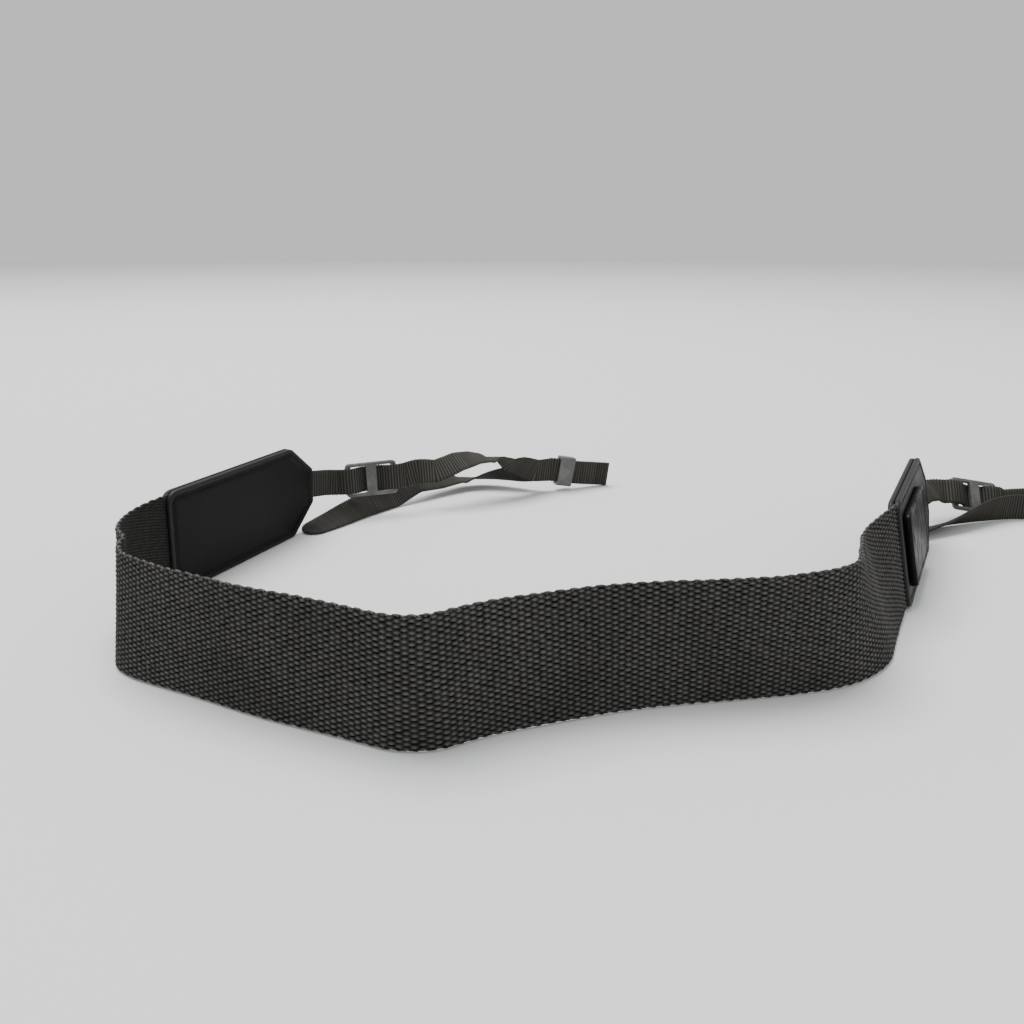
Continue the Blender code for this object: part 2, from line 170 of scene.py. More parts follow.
def unit(vectors):
    return vectors / np.maximum(np.linalg.norm(vectors, axis=-1, keepdims=True), 1e-12)


def ease(value):
    held = np.clip(value, 0.0, 1.0)
    return held * held * (3.0 - 2.0 * held)


def leaned(along, lean):
    # the strap's own upward direction: upright, then rolled to the left by lean degrees
    left = unit(np.cross([0.0, 0.0, 1.0], along))
    upright = unit(np.cross(along, left))
    angle = np.radians(np.asarray(lean, dtype=float))[..., None]
    return upright * np.cos(angle) + left * np.sin(angle)


def tangents(points):
    ahead = np.vstack([points[1:], points[-1:]])
    behind = np.vstack([points[:1], points[:-1]])
    return unit(ahead - behind)


def finer(places, acrosses, halves, step):
    # evenly spaced stations on a smooth curve through the given places
    spans = np.linalg.norm(np.diff(places, axis=0), axis=1)
    distance = np.concatenate([[0.0], np.cumsum(spans)])
    count = max(int(round(distance[-1] / step)), 2)
    at = np.linspace(0.0, distance[-1], count + 1)
    slope = np.gradient(places, distance, axis=0)
    k = np.clip(np.searchsorted(distance, at, side="right") - 1, 0, len(places) - 2)
    span = distance[k + 1] - distance[k]
    t = ((at - distance[k]) / span)[:, None]
    span = span[:, None]
    curve = (
        (2 * t**3 - 3 * t**2 + 1) * places[k] + (t**3 - 2 * t**2 + t) * span * slope[k]
        + (3 * t**2 - 2 * t**3) * places[k + 1] + (t**3 - t**2) * span * slope[k + 1]
    )
    side = acrosses[k] * (1 - t) + acrosses[k + 1] * t
    half = np.interp(at, distance, halves)
    along = tangents(curve)
    out = unit(np.cross(along, side))
    side = unit(np.cross(out, along))
    return {"at": at, "place": curve, "along": along, "across": side, "out": out, "half": half}


# Floor

floorMaterial = newMaterial("paleMattBoard", {
    "Base Color": toLinear(studio["floorColour"]), "Roughness": 0.75,
})[0]
reach = studio["floorHalf"]
floorMesh = bpy.data.meshes.new("floor")
floorMesh.from_pydata(
    [(-reach, -reach, 0.0), (reach, -reach, 0.0), (reach, reach, 0.0), (-reach, reach, 0.0)],
    [], [(0, 1, 2, 3)],
)
floorMesh.materials.append(floorMaterial)
floor = bpy.data.objects.new("floor", floorMesh)
bpy.context.scene.collection.objects.link(floor)
print("camera, light and floor set")

# Materials

# gap is painted shade for the hollows between knobs, tip is a painted highlight for the knob tops
bandLook = {
    "paintedGapShade": "#030303", "knob": "#2e2d2b", "tip": "#676562", "roughness": 0.78, "shine": 0.14,
    "fibreSize": 0.22, "patchScale": 38.0,
}


def wovenNylon():
    # Coarse woven nylon: matte knobs of yarn, with painted shade making the gaps deep dark and a painted
    # highlight making the knob tops paler
    material, surface = newMaterial("wovenNylonWebbing", {
        "Roughness": bandLook["roughness"], "Specular IOR Level": bandLook["shine"],
    })
    knob = addNode(material, "ShaderNodeAttribute", {"attribute_name": "knob"})
    toneAndShade = addNode(material, "ShaderNodeAttribute", {"attribute_name": "toneAndShade"})
    # painted shade: the colour falls to the gap colour where the knob mask is low
    lift = addNode(material, "ShaderNodeMapRange", {
        "From Min": 0.2, "From Max": 0.72, "interpolation_type": "SMOOTHSTEP",
    }, {"Value": (knob, "Fac")})
    body = addNode(material, "ShaderNodeMixRGB", {
        "Color1": toLinear(bandLook["paintedGapShade"]), "Color2": toLinear(bandLook["knob"]),
    }, {"Fac": (lift, "Result")})
    # painted highlight: the highest part of each knob is lightened towards the tip colour
    highlightMask = addNode(material, "ShaderNodeMapRange", {
        "From Min": 0.74, "From Max": 1.0, "To Max": 0.72,
    }, {"Value": (knob, "Fac")})
    withPaintedHighlight = addNode(material, "ShaderNodeMixRGB", {"Color2": toLinear(bandLook["tip"])}, {
        "Fac": (highlightMask, "Result"), "Color1": (body, "Color"),
    })
    place = addNode(material, "ShaderNodeTexCoord")
    patches = addNode(material, "ShaderNodeTexNoise", {
        "Scale": bandLook["patchScale"], "Detail": 3.0,
    }, {"Vector": (place, "Object")})
    patchShade = addNode(material, "ShaderNodeMapRange", {
        "From Min": 0.3, "From Max": 0.7, "To Min": 0.84, "To Max": 1.14,
    }, {"Value": (patches, "Fac")})
    shade = addNode(material, "ShaderNodeMath", {"operation": "MULTIPLY"}, {
        0: (patchShade, "Result"), 1: (toneAndShade, "Fac"),
    })
    coloured = addNode(material, "ShaderNodeVectorMath", {"operation": "SCALE"}, {
        0: (withPaintedHighlight, "Color"), "Scale": (shade, "Value"),
    })
    wire(material, coloured, "Vector", surface, "Base Color")
    fibre = addNode(material, "ShaderNodeTexNoise", {
        "Scale": 1000.0 / bandLook["fibreSize"], "Detail": 2.0,
    }, {"Vector": (place, "Object")})
    bump = addNode(material, "ShaderNodeBump", {"Strength": 0.35, "Distance": 0.00008}, {
        "Height": (fibre, "Fac"),
    })
    wire(material, bump, "Normal", surface, "Normal")
    return material


thinLook = {
    "paintedGrooveShade": "#161514", "rib": "#484641", "roughness": 0.78, "shine": 0.16, "fibreSize": 0.2,
}


def ribbedNylon():
    # Narrow nylon tape: fine cross ribs, matte, with painted shade darkening the lines between the ribs
    material, surface = newMaterial("ribbedNylonTape", {
        "Roughness": thinLook["roughness"], "Specular IOR Level": thinLook["shine"],
    })
    rib = addNode(material, "ShaderNodeAttribute", {"attribute_name": "rib"})
    toneAndShade = addNode(material, "ShaderNodeAttribute", {"attribute_name": "toneAndShade"})
    body = addNode(material, "ShaderNodeMixRGB", {
        "Color1": toLinear(thinLook["paintedGrooveShade"]), "Color2": toLinear(thinLook["rib"]),
    }, {"Fac": (rib, "Fac")})
    coloured = addNode(material, "ShaderNodeVectorMath", {"operation": "SCALE"}, {
        0: (body, "Color"), "Scale": (toneAndShade, "Fac"),
    })
    wire(material, coloured, "Vector", surface, "Base Color")
    place = addNode(material, "ShaderNodeTexCoord")
    fibre = addNode(material, "ShaderNodeTexNoise", {
        "Scale": 1000.0 / thinLook["fibreSize"], "Detail": 2.0,
    }, {"Vector": (place, "Object")})
    bump = addNode(material, "ShaderNodeBump", {"Strength": 0.3, "Distance": 0.00006}, {
        "Height": (fibre, "Fac"),
    })
    wire(material, bump, "Normal", surface, "Normal")
    return material


# rim is a lighter colour for the rolled edge: a painted highlight
leatherLook = {
    "dark": "#060606", "light": "#0f0e0d", "rim": "#1b1c1d", "roughness": 0.46,
    "grainSize": 0.7, "creaseSize": 14.0, "faceShine": 0.11, "rimShine": 0.24,
}


def finishedLeather():
    # Black finished leather: smooth and pressed, with a low sheen and a fine pebble grain
    material, surface = newMaterial("blackFinishedLeather", {"IOR": 1.5})
    place = addNode(material, "ShaderNodeTexCoord")
    mottle = addNode(material, "ShaderNodeTexNoise", {
        "Scale": 1000.0 / leatherLook["creaseSize"], "Detail": 4.0, "Roughness": 0.6,
    }, {"Vector": (place, "Object")})
    blend = addNode(material, "ShaderNodeMapRange", {"From Min": 0.35, "From Max": 0.7}, {
        "Value": (mottle, "Fac"),
    })
    body = addNode(material, "ShaderNodeMixRGB", {
        "Color1": toLinear(leatherLook["dark"]), "Color2": toLinear(leatherLook["light"]),
    }, {"Fac": (blend, "Result")})
    edge = addNode(material, "ShaderNodeAttribute", {"attribute_name": "rim"})
    # painted highlight: the rolled rim is coloured lighter than the face
    paintedRimHighlight = addNode(material, "ShaderNodeMixRGB", {"Color2": toLinear(leatherLook["rim"])}, {
        "Fac": (edge, "Fac"), "Color1": (body, "Color"),
    })
    wire(material, paintedRimHighlight, "Color", surface, "Base Color")
    polish = addNode(material, "ShaderNodeMapRange", {
        "To Min": leatherLook["faceShine"], "To Max": leatherLook["rimShine"],
    }, {"Value": (edge, "Fac")})
    wire(material, polish, "Result", surface, "Specular IOR Level")
    gloss = addNode(material, "ShaderNodeMapRange", {
        "To Min": leatherLook["roughness"] - 0.06, "To Max": leatherLook["roughness"] + 0.1,
    }, {"Value": (mottle, "Fac")})
    wire(material, gloss, "Result", surface, "Roughness")
    grain = addNode(material, "ShaderNodeTexVoronoi", {
        "Scale": 1000.0 / leatherLook["grainSize"],
    }, {"Vector": (place, "Object")})
    grainBump = addNode(material, "ShaderNodeBump", {"Strength": 0.25, "Distance": 0.00005}, {
        "Height": (grain, "Distance"),
    })
    dent = addNode(material, "ShaderNodeBump", {"Strength": 0.35, "Distance": 0.0006}, {
        "Height": (mottle, "Fac"), "Normal": (grainBump, "Normal"),
    })
    wire(material, dent, "Normal", surface, "Normal")
    return material


threadLook = {"roughness": 0.6, "shine": 0.25, "twistSize": 0.4}


def waxedThread(name, dark, light):
    # Twisted polyester yarn: a little shiny on top, darker where the plies meet
    material, surface = newMaterial(name, {
        "Roughness": threadLook["roughness"], "Specular IOR Level": threadLook["shine"],
    })
    place = addNode(material, "ShaderNodeTexCoord")
    twist = addNode(material, "ShaderNodeTexNoise", {
        "Scale": 1000.0 / threadLook["twistSize"], "Detail": 2.0,
    }, {"Vector": (place, "Object")})
    shade = addNode(material, "ShaderNodeMapRange", {"From Min": 0.35, "From Max": 0.65}, {
        "Value": (twist, "Fac"),
    })
    body = addNode(material, "ShaderNodeMixRGB", {
        "Color1": toLinear(dark), "Color2": toLinear(light),
    }, {"Fac": (shade, "Result")})
    wire(material, body, "Color", surface, "Base Color")
    return material


hardwareLook = {
    "colour": "#535352", "scuffed": "#6c6c6a", "roughness": 0.34, "grainSize": 0.35, "scuffScale": 220.0,
}


def mouldedAcetal():
    # Grey acetal, injection moulded with a satin texture: soft broad highlights, faint scuffs
    material, surface = newMaterial("greyMouldedAcetal", {"IOR": 1.48})
    place = addNode(material, "ShaderNodeTexCoord")
    scuff = addNode(material, "ShaderNodeTexNoise", {
        "Scale": hardwareLook["scuffScale"], "Detail": 5.0,
    }, {"Vector": (place, "Object")})
    blend = addNode(material, "ShaderNodeMapRange", {"From Min": 0.45, "From Max": 0.75}, {
        "Value": (scuff, "Fac"),
    })
    body = addNode(material, "ShaderNodeMixRGB", {
        "Color1": toLinear(hardwareLook["colour"]), "Color2": toLinear(hardwareLook["scuffed"]),
    }, {"Fac": (blend, "Result")})
    wire(material, body, "Color", surface, "Base Color")
    gloss = addNode(material, "ShaderNodeMapRange", {
        "To Min": hardwareLook["roughness"] - 0.08, "To Max": hardwareLook["roughness"] + 0.14,
    }, {"Value": (scuff, "Fac")})
    wire(material, gloss, "Result", surface, "Roughness")
    grain = addNode(material, "ShaderNodeTexNoise", {
        "Scale": 1000.0 / hardwareLook["grainSize"], "Detail": 1.0,
    }, {"Vector": (place, "Object")})
    bump = addNode(material, "ShaderNodeBump", {"Strength": 0.12, "Distance": 0.00003}, {
        "Height": (grain, "Fac"),
    })
    wire(material, bump, "Normal", surface, "Normal")
    return material


badgeLook = {
    "colour": "#0c0c0d", "roughness": 0.27, "scuffed": 0.6, "streakSize": 4.0, "streakStretch": 0.3,
    "shine": 0.15, "dullShine": 0.06,
}


def polishedAbs():
    # Black ABS from a polished mould: glossy at a low angle, with dull streaks from handling
    material, surface = newMaterial("polishedBlackAbs", {
        "Base Color": toLinear(badgeLook["colour"]), "IOR": 1.5,
    })
    place = addNode(material, "ShaderNodeTexCoord")
    stretched = addNode(material, "ShaderNodeMapping", {
        "Scale": (1.0, 1.0, badgeLook["streakStretch"]),
    }, {"Vector": (place, "Object")})
    marks = addNode(material, "ShaderNodeTexNoise", {
        "Scale": 1000.0 / badgeLook["streakSize"], "Detail": 4.0, "Roughness": 0.6,
    }, {"Vector": (stretched, "Vector")})
    for clean, dull, socket in (
        ("roughness", "scuffed", "Roughness"), ("shine", "dullShine", "Specular IOR Level"),
    ):
        spread = addNode(material, "ShaderNodeMapRange", {
            "From Min": 0.32, "From Max": 0.68, "To Min": badgeLook[clean], "To Max": badgeLook[dull],
        }, {"Value": (marks, "Fac")})
        wire(material, spread, "Result", surface, socket)
    return material


webbingMaterial = wovenNylon()
tapeMaterial = ribbedNylon()
leatherMaterial = finishedLeather()
threadMaterial = waxedThread("waxedBlackThread", "#11100f", "#2a2826")
# the selvage yarn is paler than the band's yarn: a painted highlight along the band's edges
selvageMaterial = waxedThread("nylonSelvageYarn", "#33312e", "#6e6b66")
crossMaterial = waxedThread("paleLockStitchThread", "#33312e", "#54514d")
hardwareMaterial = mouldedAcetal()
badgeMaterial = polishedAbs()
print("materials made")

# Course of the band

band = {
    "width": 38.0, "thickness": 1.5, "length": 373.9, "steps": 110,
    "startHeading": -113.6, "liftShare": 0.07, "tabRim": 0.8, "shownTuck": 5.0,
}
bandCourse = [  # share of the length, turn against the start, lean of the upper edge inwards
    (0.000, 0.0, 2.0), (0.035, 9.1, 2.0), (0.075, 31.3, 2.0), (0.110, 59.0, 2.0),
    (0.130, 16.7, 4.0), (0.155, 41.4, 7.0), (0.180, 72.0, 8.0), (0.205, 85.6, 7.0),
    (0.235, 87.2, 4.0), (0.300, 83.8, 3.0), (0.360, 90.2, 5.0), (0.430, 88.3, 3.1),
    (0.462, 116.6, 3.6), (0.490, 146.4, 5.4), (0.530, 134.9, 6.4), (0.600, 132.2, 5.8),
    (0.680, 122.6, 1.0), (0.740, 123.5, -0.4), (0.790, 130.0, 2.5), (0.820, 143.1, 6.2),
    (0.850, 156.3, 14.7), (0.870, 167.0, 18.8), (0.890, 177.8, 19.6), (0.920, 177.2, 21.6),
    (0.950, 176.5, 20.5), (1.000, 176.3, 12.0),
]


def bandStations():
    shares, turns, leans = np.array(bandCourse).T
    steps = band["steps"]
    middles = (np.arange(steps) + 0.5) / steps
    heading = np.radians(band["startHeading"] + np.interp(middles, shares, turns))
    stride = np.stack([np.cos(heading), np.sin(heading), np.zeros(steps)], axis=1)
    stride = stride * band["length"] / steps
    feet = np.vstack([[0.0, 0.0, 0.0], np.cumsum(stride, axis=0)])
    index = np.arange(steps + 1)
    fromEnd = (np.minimum(index, steps - index) - 1) / steps
    feet[:, 2] = band["tabRim"] * (1.0 - ease(fromEnd / band["liftShare"]))
    along = tangents(feet)
    lean = np.interp(index / steps, shares, leans)
    across = leaned(along, lean)
    lift = band["thickness"] / 2.0 * np.abs(np.sin(np.radians(lean)))
    places = feet + across * (band["width"] / 2.0)
    places[:, 2] += lift
    return places, along, across


bandPlaces, bandAlongs, bandAcrosses = bandStations()
tabFrames = {}
for side, at, sign in (("left", 0, -1.0), ("right", -1, 1.0)):
    along = bandAlongs[at] * sign
    tabFrames[side] = {
        "origin": bandPlaces[at], "along": along, "across": bandAcrosses[at],
        "out": unit(np.cross(bandAlongs[at], bandAcrosses[at])),
    }


def inFrame(base, along, across, out):
    # points at distances along, across and out of a piece's own frame
    return (
        base["origin"] + np.multiply.outer(np.asarray(along, dtype=float), base["along"])
        + np.multiply.outer(np.asarray(across, dtype=float), base["across"])
        + np.multiply.outer(np.asarray(out, dtype=float), base["out"])
    )


# Woven band

weave = {
    "outer": {
        "pitch": 1.94, "rows": 24, "along": 5, "across": 4, "long": 0.71, "tall": 0.52, "depth": 0.8,
        "shade": 1.0,
    },
    # shade scales each face's colour: the inner face is painted darker, a painted shade
    "inner": {
        "pitch": 1.94, "rows": 34, "along": 4, "across": 3, "long": 0.95, "tall": 0.52, "depth": 0.35,
        "shade": 0.3,
    },
    "edgeRound": 0.6,
    "upperDip": 0.42,
    "lowerDip": 0.2,
    "unevenness": 0.16,
    "alongJitter": 0.16,
    "acrossJitter": 0.14,
    "toneLow": 0.88,
    "toneSpread": 0.26,
    "paintedLightDrop": 0.07,
    "middle": 0.7,
    "sunk": 0.05,
    "edgeBand": 2.0,
}


def edgeDip(x, edge):
    # each edge draws in a little beside every second column of knobs
    turn = math.pi * (x / weave["outer"]["pitch"] - 1.5)
    return np.where(edge > 0, weave["upperDip"], weave["lowerDip"]) * (0.5 - 0.5 * np.cos(turn))


def thread(start, end, radius, dip, normal, rings=6, sides=6):
    # one stitch: a fat little arc that goes into the cloth at both ends
    start, end, normal = np.asarray(start), np.asarray(end), np.asarray(normal)
    along = unit(end - start)
    side = unit(np.cross(normal, along))
    points = []
    for k in range(rings + 1):
        t = 2.0 * k / rings - 1.0
        middle = start + (end - start) * (k / rings) - normal * dip * t * t
        fat = radius * math.sqrt(max(1.0 - t**4, 0.04))
        for j in range(sides):
            turn = 2.0 * math.pi * j / sides
            points.append(middle + (side * math.cos(turn) + normal * math.sin(turn)) * fat)
    return np.array(points), gridFaces(rings + 1, sides, True)


def threadPiece(name, stitches, material):
    # stitches: (start, end, radius, dip, normal)
    allPoints, allFaces, base = [], [], 0
    for stitch in stitches:
        points, faces = thread(*stitch)
        allPoints.append(points)
        allFaces.append(faces + base)
        base += len(points)
    return meshObject(name, np.vstack(allPoints), np.vstack(allFaces), material)


def knobHeights(x, y, face):
    # domes of yarn in brick order, where each point takes the highest dome near it; the mask for the
    # painted shade and painted highlight is a dome set a little below each knob's middle
    pitch, rowPitch = face["pitch"], band["width"] / face["rows"]
    column = np.floor(x / pitch).astype(int)
    height = np.zeros((len(x), len(y)))
    paintedLightMask = np.zeros_like(height)
    toneAndShade = np.ones_like(height)
    spread = chance.random((3, column.max() + 4, face["rows"] + 4))
    for beside in (-1, 0, 1):
        near = column + beside
        centre = (near + 0.5) * pitch
        rowPlace = y[None, :] / rowPitch + face["rows"] / 2.0 + 0.5 * (near[:, None] % 2)
        row = np.floor(rowPlace).astype(int)
        picks = (near[:, None] + 1, row + 1)
        u = (x - centre)[:, None] / (face["long"] * pitch)
        u = u + weave["alongJitter"] * (spread[0][picks] - 0.5)
        v = (rowPlace - row - 0.5) / face["tall"] + weave["acrossJitter"] * (spread[1][picks] - 0.5)
        dome = np.sqrt(np.clip(1.0 - u**2 - v**2, 0.0, 1.0))
        dome = dome * (1.0 + weave["unevenness"] * (spread[2][picks] - 0.5))
        lower = np.sqrt(np.clip(1.0 - u**2 - (v + weave["paintedLightDrop"]) ** 2, 0.0, 1.0))
        higher = dome > height
        height = np.where(higher, dome, height)
        paintedLightMask = np.where(higher, lower, paintedLightMask)
        toneAndShade = np.where(higher, weave["toneLow"] + weave["toneSpread"] * spread[2][picks], toneAndShade)
    return height, paintedLightMask, toneAndShade * face["shade"]


def wovenBand():
    start, end = tabFrames["left"], tabFrames["right"]
    tuck = band["shownTuck"]
    places = np.vstack([inFrame(start, tuck, 0, 0), bandPlaces, inFrame(end, tuck, 0, 0)])
    acrosses = np.vstack([start["across"], bandAcrosses, end["across"]])
    halves = np.full(len(places), band["width"] / 2.0)
    for name, sign in (("outer", 1.0), ("inner", -1.0)):
        face = weave[name]
        line = finer(places, acrosses, halves, face["pitch"] / face["along"])
        y = np.linspace(-band["width"] / 2.0, band["width"] / 2.0, face["rows"] * face["across"] + 1)
        knob, paintedLightMask, toneAndShade = knobHeights(line["at"], y, face)
        fromEdge = (band["width"] / 2.0 - np.abs(y)) / weave["edgeRound"]
        rounded = np.sqrt(np.clip(1.0 - np.clip(1.0 - fromEdge, 0.0, 1.0) ** 2, 0.0, 1.0))
        deep = band["thickness"] / 2.0 - weave["sunk"] + face["depth"] * (knob - weave["middle"])
        deep = deep * rounded[None, :]
        pastEdge = np.abs(y) - band["width"] / 2.0
        nearEdge = np.sign(y) * ease(pastEdge / weave["edgeBand"] + 1.0)
        level = y[None, :] - edgeDip(line["at"][:, None], y[None, :]) * nearEdge[None, :]
        points = (
            line["place"][:, None, :] + line["across"][:, None, :] * level[:, :, None]
            + line["out"][:, None, :] * (sign * deep[:, :, None])
        )
        faces = gridFaces(len(line["at"]), len(y), False)
        if sign > 0:
            faces = faces[:, ::-1]
        # the knob attribute carries the mask for the painted gap shade and the painted top highlight
        piece = meshObject(
            "neck_band_" + name + "_weave", points.reshape(-1, 3), faces, webbingMaterial,
            values={"knob": paintedLightMask, "toneAndShade": toneAndShade},
        )
        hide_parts("neck_band")
    return finer(places, acrosses, halves, selvage["pitch"] / selvage["samples"])


selvage = {
    "radius": 0.33, "length": 2.5, "slant": 0.42, "inset": 0.34, "pitch": 1.455, "samples": 3,
    "dip": 0.2,
}
bandLine = wovenBand()


def bandSelvage():
    # the weft turns back over each edge in a row of slanted strands
    stitches = []
    for edge in (-1.0, 1.0):
        for i in range(selvage["samples"] // 2, len(bandLine["at"]), selvage["samples"]):
            inset = selvage["inset"] + edgeDip(bandLine["at"][i], edge)
            middle = bandLine["place"][i] + bandLine["across"][i] * edge * (bandLine["half"][i] - inset)
            lay = unit(bandLine["along"][i] + bandLine["out"][i] * selvage["slant"])
            reach = lay * selvage["length"] / 2.0
            stitches.append((
                middle - reach, middle + reach, selvage["radius"], selvage["dip"],
                bandLine["across"][i] * edge,
            ))
    piece = threadPiece("neck_band_selvage", stitches, selvageMaterial)
    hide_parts("neck_band")


bandSelvage()
crossRows = {
    "places": (75.0, 278.4), "slants": (2.5, 1.2), "radius": 0.2, "length": 1.5, "pitch": 2.3,
    "margin": 1.6, "proud": 0.08, "dip": 0.2,
}


def crossStitches():
    # two rows of lock stitch over the band, seen from both faces
    stitches = []
    reach = band["width"] / 2.0 - crossRows["margin"]
    for base, slant in zip(crossRows["places"], crossRows["slants"]):
        for face in (-1.0, 1.0):
            for y in np.arange(-reach, reach - crossRows["length"], crossRows["pitch"]):
                ends = []
                for height in (y, y + crossRows["length"]):
                    at = base + band["shownTuck"] - slant * height / reach
                    i = int(np.searchsorted(bandLine["at"], at))
                    normal = bandLine["out"][i] * face
                    ends.append(
                        bandLine["place"][i] + bandLine["across"][i] * height
                        + normal * (band["thickness"] / 2.0 + crossRows["proud"])
                    )
                stitches.append((ends[0], ends[1], crossRows["radius"], crossRows["dip"], normal))
    piece = threadPiece("neck_band_cross_stitches", stitches, crossMaterial)


crossStitches()
print("woven band made")

# Leather tabs

tab = {
    "length": 91.0, "halfWidth": 19.8, "pointLength": 15.0, "pointHalf": 7.7,
    "corner": 5.0, "pointCorner": 1.6, "face": 2.1, "sunk": 0.13, "crown": 0.12,
    "spine": (22.0, 70.0),
}
tabCorners = [
    (0.0, -tab["halfWidth"], tab["corner"]),
    (tab["length"] - tab["pointLength"], -tab["halfWidth"], tab["corner"]),
    (tab["length"], -tab["pointHalf"], tab["pointCorner"]),
    (tab["length"], tab["pointHalf"], tab["pointCorner"]),
    (tab["length"] - tab["pointLength"], tab["halfWidth"], tab["corner"]),
    (0.0, tab["halfWidth"], tab["corner"]),
]
outline = {"arc": 7, "step": 2.0, "leastRadius": 0.4}  # steps round a corner, step along an edge
tabProfile = [  # how far in from the outline, height below the face, share of the rim colour (a painted highlight)
    (0.25, -1.95, 0.2), (0.0, -1.7, 0.5), (0.0, -0.85, 0.9), (0.12, -0.42, 1.0), (0.38, -0.14, 1.0),
    (0.8, 0.02, 0.8), (1.25, 0.0, 0.5), (1.7, -0.16, 0.2), (2.1, -0.42, 0.0), (2.5, -0.5, 0.0),
    (2.9, -0.4, 0.0), (3.4, -0.2, 0.0), (4.2, -0.08, 0.0),
]


def outlineRing(corners, inset):
    # the outline moved inwards, with as many points in every ring
    arc, step = outline["arc"], outline["step"]
    count = len(corners)
    points = np.array([corner[:2] for corner in corners])
    moved, ring = [], []
    for i in range(count):
        before = unit(points[i] - points[i - 1])
        after = unit(points[(i + 1) % count] - points[i])
        inwards = unit(np.array([-before[1] - after[1], before[0] + after[0]]))
        moved.append(points[i] + inwards * inset / inwards.dot([-before[1], before[0]]))
    arcs = []
    for i in range(count):
        radius = max(corners[i][2] - inset, outline["leastRadius"])
        back = unit(moved[i - 1] - moved[i])
        ahead = unit(moved[(i + 1) % count] - moved[i])
        opening = math.acos(float(np.clip(back.dot(ahead), -1.0, 1.0)))
        centre = moved[i] + unit(back + ahead) * radius / math.sin(opening / 2.0)
        first = moved[i] + back * radius / math.tan(opening / 2.0) - centre
        sweep = math.pi - opening
        turns = [sweep * k / arc for k in range(arc + 1)]
        arcs.append([
            centre + np.array([
                first[0] * math.cos(a) - first[1] * math.sin(a),
                first[0] * math.sin(a) + first[1] * math.cos(a),
            ]) for a in turns
        ])
    for i in range(count):
        ring += arcs[i]
        start, end = arcs[i][-1], arcs[(i + 1) % count][0]
        base = np.linalg.norm(points[(i + 1) % count] - points[i])
        between = max(int(base / step), 2)
        ring += [start + (end - start) * k / between for k in range(1, between)]
    return np.array(ring)


def leatherLayer(name, node, base, sign):
    # a rolled rim, a stitching groove and a face that crowns a little towards its middle
    rings, heights, rims = [], [], []
    for inset, below, rim in tabProfile:
        ring = outlineRing(tabCorners, inset)
        rings.append(ring)
        heights.append(np.full(len(ring), tab["face"] + below))
        rims.append(np.full(len(ring), rim))
    last = rings[-1]
    spine = np.stack([np.clip(last[:, 0], *tab["spine"]), np.zeros(len(last))], axis=1)
    for share in (0.12, 0.26, 0.42, 0.6, 0.8, 1.0):
        rings.append(last + (spine - last) * share)
        crown = tab["crown"] * ease(share * 1.6)
        heights.append(np.full(len(last), tab["face"] - tab["sunk"] + crown))
        rims.append(np.zeros(len(last)))
    flat = np.vstack(rings)
    points = inFrame(base, flat[:, 0], flat[:, 1], sign * np.concatenate(heights))
    faces = gridFaces(len(rings), len(last), True)
    if sign < 0:
        faces = faces[:, ::-1]
    piece = meshObject(name, points, faces, leatherMaterial, values={"rim": np.concatenate(rims)})
    sealed(piece.data)
    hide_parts(node)


seam = {
    "inset": 2.5, "length": 1.5, "pitch": 2.1, "radius": 0.2, "sunk": 0.38, "dip": 0.2,
    "boxRows": (3.6, 13.0), "boxHalf": 6.2, "boxSunk": 0.05,
}


def evenly(ring, pitch):
    # points and directions at even distances round a closed outline
    closed = np.vstack([ring, ring[:1]])
    distance = np.concatenate([[0.0], np.cumsum(np.linalg.norm(np.diff(closed, axis=0), axis=1))])
    count = int(distance[-1] / pitch)
    at = np.linspace(0.0, distance[-1], count, endpoint=False)
    x, y = np.interp(at, distance, closed[:, 0]), np.interp(at, distance, closed[:, 1])
    ahead = (at + 0.5) % distance[-1]
    way = np.stack([
        np.interp(ahead, distance, closed[:, 0]) - x, np.interp(ahead, distance, closed[:, 1]) - y,
    ], axis=1)
    return np.stack([x, y], axis=1), unit(way)


def tabStitches(name, base):
    # a border of stitches sunk in the rim's groove, and two rows across the tip
    stitches = []
    middles, ways = evenly(outlineRing(tabCorners, seam["inset"]), seam["pitch"])
    inBorder = len(middles)
    tip = tab["length"]
    for fromTip in seam["boxRows"]:  # box stitch that holds the narrow tape
        heights = np.arange(-seam["boxHalf"], seam["boxHalf"], seam["pitch"])
        middles = np.vstack([middles, np.stack([np.full(len(heights), tip - fromTip), heights], axis=1)])
        ways = np.vstack([ways, np.tile([0.0, 1.0], (len(heights), 1))])
    for sign in (-1.0, 1.0):
        for k, (middle, way) in enumerate(zip(middles, ways)):
            height = sign * (tab["face"] - seam["sunk" if k < inBorder else "boxSunk"])
            ends = [middle - way * seam["length"] / 2.0, middle + way * seam["length"] / 2.0]
            start, end = [inFrame(base, p[0], p[1], height) for p in ends]
            stitches.append((start, end, seam["radius"], seam["dip"], base["out"] * sign))
    piece = threadPiece(name, stitches, threadMaterial)


for side in ("left", "right"):
    base = tabFrames[side]
    leatherLayer(side + "_tab_inner_leather", side + "_tab_inner", base, -1.0)
    leatherLayer(side + "_tab_outer_leather", side + "_tab_outer", base, 1.0)
    tabStitches(side + "_tab_stitches", base)
print("leather tabs made")

# Badge on the right tab

badge = {
    "length": 47.0, "halfWidth": 13.5, "fromMouth": 6.0, "corner": 3.0, "crown": 0.22,
    "spineInset": 12.0,
}
badgeProfile = [  # how far in from the outline, height above the tab's middle
    (0.15, 2.2), (0.0, 2.4), (0.0, 3.9), (0.1, 4.25), (0.32, 4.5), (0.65, 4.6), (1.5, 4.6),
    (1.75, 4.52), (1.9, 4.36), (2.15, 4.3), (2.6, 4.32),
]


